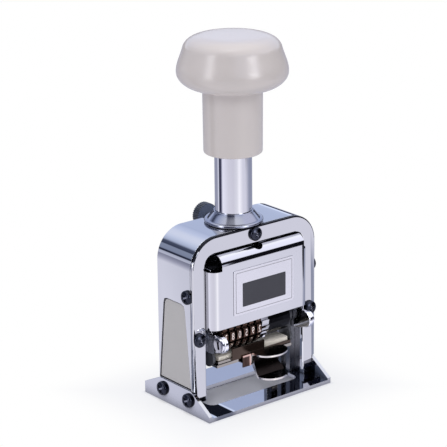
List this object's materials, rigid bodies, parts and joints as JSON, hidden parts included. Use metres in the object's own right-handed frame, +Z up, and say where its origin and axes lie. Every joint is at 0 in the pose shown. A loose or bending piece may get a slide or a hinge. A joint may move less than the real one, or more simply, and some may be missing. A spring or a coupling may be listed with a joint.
{
  "type": "numbering machine",
  "caption": "Hand numbering stamp: a round push handle drives a carriage of turning number wheels down through a chromed frame while its ink pad swings clear.",
  "frame": {"origin": "middle of the base plate's outline, on the surface it stands on", "axes": "+X to the right of someone facing the cover, +Y to the rear, +Z up along the press rod"},
  "size_m": [0.069, 0.0448, 0.1505],
  "materials": {
    "base_chrome": "mirror chrome plate over pressed steel",
    "frame_chrome": "bright chrome plate over a casting",
    "tube_chrome": "bright chrome tube",
    "cover_chrome": "bright chrome pressing",
    "carriage_chrome": "bright chrome plate",
    "tray_chrome": "bright nickel plate on folded sheet",
    "bright_steel": "turned and ground steel",
    "black_screw": "black oxide steel",
    "black_steel": "blackened steel",
    "brass": "turned brass",
    "wheel_brass": "nickelled brass with ink in the hollows",
    "copper": "phosphor bronze strip",
    "handle_plastic": "moulded warm white plastic",
    "panel_plastic": "satin warm grey plastic",
    "arm_black": "black moulded plastic",
    "knob_black": "black moulded plastic with ribs",
    "label_white": "printed plate, left bare",
    "ink_felt": "cream felt, ink tray pad"
  },
  "bodies": {
    "frame": {"base_plate": "base_chrome", "frame_body": "frame_chrome", "front_plate": "frame_chrome", "side_panel_left": "panel_plastic", "side_panel_right": "panel_plastic", "front_screw_top": "black_screw", "front_screw_left": "black_screw", "side_screw_left": "black_screw", "base_screw_front_left": "black_screw", "base_screw_rear_left": "black_screw", "front_screw_right": "black_screw", "side_screw_right": "black_screw", "base_screw_front_right": "black_screw", "base_screw_rear_right": "black_screw", "guide_rail_left": "bright_steel", "guide_rail_right": "bright_steel", "guide_tube": "tube_chrome", "tube_collar": "tube_chrome", "tube_nut": "bright_steel", "rod_bush": "brass"},
    "plunger": {"handle_knob": "handle_plastic", "press_rod": "bright_steel", "return_spring": "bright_steel", "spring_cup": "brass", "crosshead": "bright_steel", "rod_nut": "bright_steel", "cheek_left": "carriage_chrome", "cheek_right": "carriage_chrome", "stop_screw_left": "bright_steel", "stop_screw_right": "bright_steel", "shaft_nut_left": "bright_steel", "shaft_nut_right": "bright_steel", "wheel_shaft": "bright_steel", "face_cover": "cover_chrome", "label_plate": "label_white", "back_plate": "bright_steel", "selector_dial": "carriage_chrome", "selector_pivot": "bright_steel", "detent_comb": "bright_steel", "spacer_bush": "black_steel"},
    "wheel_1": {"number_wheel_1": "wheel_brass"},
    "wheel_2": {"number_wheel_2": "wheel_brass"},
    "wheel_3": {"number_wheel_3": "wheel_brass"},
    "wheel_4": {"number_wheel_4": "wheel_brass"},
    "wheel_5": {"number_wheel_5": "wheel_brass"},
    "wheel_6": {"number_wheel_6": "wheel_brass", "drive_ratchet": "bright_steel"},
    "feed": {"feed_yoke": "bright_steel", "feed_pawl": "brass"},
    "pad": {"pad_arm_left": "arm_black", "pad_arm_right": "arm_black", "pad_holder": "bright_steel", "pad_tray": "tray_chrome", "ink_pad": "ink_felt", "release_spring": "copper", "release_pin": "bright_steel"},
    "release": {"release_lever": "tray_chrome"},
    "selector": {"selector_lever": "black_steel"},
    "lock": {"lock_knob": "knob_black", "lock_pin": "bright_steel"}
  },
  "joints": [
    {"name": "press", "type": "slide", "parent": "frame", "child": "plunger", "axis": [0, 0, -1], "range_m": [0, 0.022], "stiffness_N_per_m": 600, "springref_m": -0.015, "deforming": ["return_spring"]},
    {"name": "wheel_turn_1", "type": "hinge", "parent": "plunger", "child": "wheel_1", "pos_m": [0, -0.0055, 0.03], "axis": [1, 0, 0], "continuous": true},
    {"name": "wheel_turn_2", "type": "hinge", "parent": "plunger", "child": "wheel_2", "pos_m": [0, -0.0055, 0.03], "axis": [1, 0, 0], "continuous": true},
    {"name": "wheel_turn_3", "type": "hinge", "parent": "plunger", "child": "wheel_3", "pos_m": [0, -0.0055, 0.03], "axis": [1, 0, 0], "continuous": true},
    {"name": "wheel_turn_4", "type": "hinge", "parent": "plunger", "child": "wheel_4", "pos_m": [0, -0.0055, 0.03], "axis": [1, 0, 0], "continuous": true},
    {"name": "wheel_turn_5", "type": "hinge", "parent": "plunger", "child": "wheel_5", "pos_m": [0, -0.0055, 0.03], "axis": [1, 0, 0], "continuous": true},
    {"name": "wheel_turn_6", "type": "hinge", "parent": "plunger", "child": "wheel_6", "pos_m": [0, -0.0055, 0.03], "axis": [1, 0, 0], "continuous": true},
    {"name": "feed_swing", "type": "hinge", "parent": "plunger", "child": "feed", "pos_m": [0, -0.0055, 0.03], "axis": [1, 0, 0], "range_deg": [0, 30]},
    {"name": "pad_swing", "type": "hinge", "parent": "plunger", "child": "pad", "pos_m": [0, -0.0055, 0.03], "axis": [-1, 0, 0], "range_deg": [0, 80]},
    {"name": "release_pinch", "type": "hinge", "parent": "pad", "child": "release", "pos_m": [0.0055, -0.0099, 0.0151], "axis": [-1, 0, 0], "range_deg": [0, 6], "stiffness_Nm_per_rad": 0.02, "springref_deg": -11.46},
    {"name": "selector_turn", "type": "hinge", "parent": "plunger", "child": "selector", "pos_m": [0, 0.0085, 0.042], "axis": [0, 1, 0], "range_deg": [-35, 35]},
    {"name": "lock_slide", "type": "slide", "parent": "frame", "child": "lock", "axis": [0, -1, 0], "range_m": [0, 0.0025]}
  ],
  "couplings": [
    {"joint": "pad_swing", "follows": "press", "rad_per_m": 63.4},
    {"joint": "feed_swing", "follows": "press", "rad_per_m": 23.7}
  ]
}
